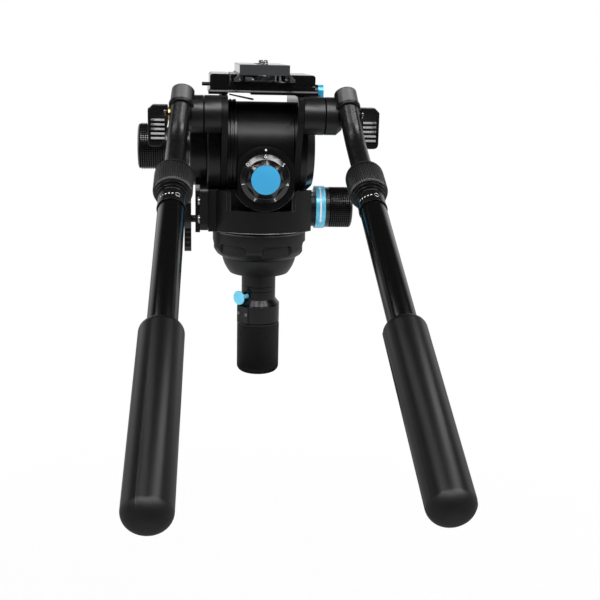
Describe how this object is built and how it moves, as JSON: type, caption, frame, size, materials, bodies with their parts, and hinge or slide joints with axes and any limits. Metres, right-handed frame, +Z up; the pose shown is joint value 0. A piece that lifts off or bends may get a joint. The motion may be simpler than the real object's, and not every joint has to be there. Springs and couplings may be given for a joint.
{
  "type": "fluid video head",
  "caption": "Two-handle fluid video head on a half ball, with pan base, tilt block, counterbalance dial and sliding quick-release plate.",
  "frame": {"origin": "centre of the half ball's sphere, on the pan axis", "axes": "+Z up along the pan axis with the head level, +Y forward along the lens direction, away from the operator, +X to the operator's right"},
  "size_m": [0.2261, 0.5119, 0.3105],
  "materials": {
    "ball_paint": "satin black paint",
    "body_satin": "fine textured satin black",
    "tube_black": "glossy black anodised",
    "knob_plastic": "matte black",
    "grip_rubber": "matte black rubber",
    "plate_grey": "satin dark grey",
    "accent_blue": "satin blue anodised",
    "bare_steel": "bright steel",
    "washer_brass": "polished brass"
  },
  "bodies": {
    "bowl_side": {"half_ball": "ball_paint", "pan_spindle": "bare_steel", "tie_down_stud": "bare_steel", "tie_down_neck": "body_satin", "tie_down_collar": "body_satin"},
    "tie_knob": {"tie_down_knob": "grip_rubber"},
    "release": {"release_button": "accent_blue"},
    "pan_base": {"base_housing": "ball_paint", "pan_bearing": "bare_steel", "pan_drag_disc": "body_satin", "side_cover": "body_satin", "side_screw_1": "bare_steel", "side_screw_2": "bare_steel", "block_housing": "body_satin", "ring_flange": "body_satin", "tilt_axle": "bare_steel", "tilt_drag_disc": "bare_steel", "counterbalance_spring": "bare_steel"},
    "pan_lock": {"pan_lock_lever": "knob_plastic"},
    "pan_knob": {"pan_drag_ring": "accent_blue", "pan_drag_knob": "knob_plastic"},
    "dial": {"dial_ring": "body_satin", "dial_knob": "knob_plastic", "dial_disc": "accent_blue"},
    "tilt_frame": {"left_cheek": "body_satin", "right_cheek": "body_satin", "left_bush": "washer_brass", "right_bush": "washer_brass", "left_disc": "body_satin", "tilt_drag_housing": "body_satin", "right_disc": "body_satin", "platform_plate": "body_satin", "left_rail": "body_satin", "right_rail": "body_satin", "left_rosette": "body_satin", "right_rosette": "body_satin", "left_clamp_stud": "bare_steel", "right_clamp_stud": "bare_steel"},
    "jaw": {"plate_jaw": "bare_steel"},
    "tilt_knob": {"tilt_drag_knob": "knob_plastic"},
    "plate": {"quick_plate": "plate_grey"},
    "screw": {"camera_screw": "bare_steel"},
    "plate_lock": {"plate_lock_lever": "accent_blue"},
    "pin": {"safety_pin": "knob_plastic"},
    "left_handle": {"left_arm": "body_satin", "left_washer": "washer_brass", "left_upper_tube": "tube_black"},
    "left_lever": {"left_clamp_lever": "knob_plastic"},
    "left_slider": {"left_lower_tube": "tube_black", "left_mark_ring": "body_satin", "left_grip": "grip_rubber"},
    "left_collar": {"left_twist_collar": "grip_rubber"},
    "right_handle": {"right_arm": "body_satin", "right_washer": "washer_brass", "right_upper_tube": "tube_black"},
    "right_lever": {"right_clamp_lever": "knob_plastic"},
    "right_slider": {"right_lower_tube": "tube_black", "right_mark_ring": "body_satin", "right_grip": "grip_rubber"},
    "right_collar": {"right_twist_collar": "grip_rubber"}
  },
  "joints": [
    {"name": "tie_knob_turn", "type": "hinge", "parent": "bowl_side", "child": "tie_knob", "pos_m": [0, 0, -0.1], "axis": [0, 0, 1], "continuous": true},
    {"name": "release_press", "type": "slide", "parent": "bowl_side", "child": "release", "axis": [0.766, 0.6428, 0], "range_m": [0, 0.004], "stiffness_N_per_m": 400, "springref_m": -0.001},
    {"name": "pan", "type": "hinge", "parent": "bowl_side", "child": "pan_base", "pos_m": [0, 0, 0.022], "axis": [0, 0, 1], "continuous": true},
    {"name": "pan_lock_turn", "type": "hinge", "parent": "pan_base", "child": "pan_lock", "pos_m": [0, 0, 0.0294], "axis": [1, 0, 0], "range_deg": [-35, 35]},
    {"name": "pan_drag_turn", "type": "hinge", "parent": "pan_base", "child": "pan_knob", "pos_m": [0, 0, 0.0418], "axis": [1, 0, 0], "continuous": true},
    {"name": "dial_turn", "type": "hinge", "parent": "pan_base", "child": "dial", "pos_m": [0.0015, 0, 0.076], "axis": [0, 1, 0], "range_deg": [-309, 0]},
    {"name": "tilt", "type": "hinge", "parent": "pan_base", "child": "tilt_frame", "pos_m": [0, 0, 0.1], "axis": [1, 0, 0], "range_deg": [-65, 40]},
    {"name": "tilt_drag_turn", "type": "hinge", "parent": "tilt_frame", "child": "tilt_knob", "pos_m": [0, 0, 0.1], "axis": [1, 0, 0], "continuous": true},
    {"name": "plate_slide", "type": "slide", "parent": "tilt_frame", "child": "plate", "axis": [0, 1, 0], "range_m": [-0.03, 0.03]},
    {"name": "camera_screw_turn", "type": "hinge", "parent": "plate", "child": "screw", "pos_m": [0, -0.03, 0.17], "axis": [0, 0, 1], "continuous": true},
    {"name": "plate_lock_turn", "type": "hinge", "parent": "tilt_frame", "child": "plate_lock", "pos_m": [0, 0.005, 0.1544], "axis": [1, 0, 0], "range_deg": [0, 90]},
    {"name": "jaw_slide", "type": "slide", "parent": "tilt_frame", "child": "jaw", "axis": [1, 0, 0], "range_m": [-0.0012, 0]},
    {"name": "pin_press", "type": "slide", "parent": "tilt_frame", "child": "pin", "axis": [1, 0, 0], "range_m": [0, 0.0025], "stiffness_N_per_m": 300, "springref_m": -0.001},
    {"name": "left_handle_angle", "type": "hinge", "parent": "tilt_frame", "child": "left_handle", "pos_m": [0, -0.053, 0.1343], "axis": [1, 0, 0], "range_deg": [-60, 20]},
    {"name": "left_lever_turn", "type": "hinge", "parent": "left_handle", "child": "left_lever", "pos_m": [0, -0.053, 0.1343], "axis": [1, 0, 0], "range_deg": [-60, 90]},
    {"name": "left_handle_length", "type": "slide", "parent": "left_handle", "child": "left_slider", "axis": [-0.034, -0.8724, -0.4876], "range_m": [-0.034, 0.06]},
    {"name": "left_collar_turn", "type": "hinge", "parent": "left_slider", "child": "left_collar", "pos_m": [-0.079, -0.088, 0.1152], "axis": [-0.034, -0.8724, -0.4876], "range_deg": [0, 90]},
    {"name": "right_handle_angle", "type": "hinge", "parent": "tilt_frame", "child": "right_handle", "pos_m": [0, -0.053, 0.1343], "axis": [1, 0, 0], "range_deg": [-60, 20]},
    {"name": "right_lever_turn", "type": "hinge", "parent": "right_handle", "child": "right_lever", "pos_m": [0, -0.053, 0.1343], "axis": [1, 0, 0], "range_deg": [-60, 90]},
    {"name": "right_handle_length", "type": "slide", "parent": "right_handle", "child": "right_slider", "axis": [0.034, -0.8724, -0.4876], "range_m": [-0.034, 0.06]},
    {"name": "right_collar_turn", "type": "hinge", "parent": "right_slider", "child": "right_collar", "pos_m": [0.079, -0.088, 0.1152], "axis": [0.034, -0.8724, -0.4876], "range_deg": [0, 90]}
  ],
  "couplings": [
    {"joint": "plate_lock_turn", "follows": "jaw_slide", "rad_per_m": -1309}
  ]
}
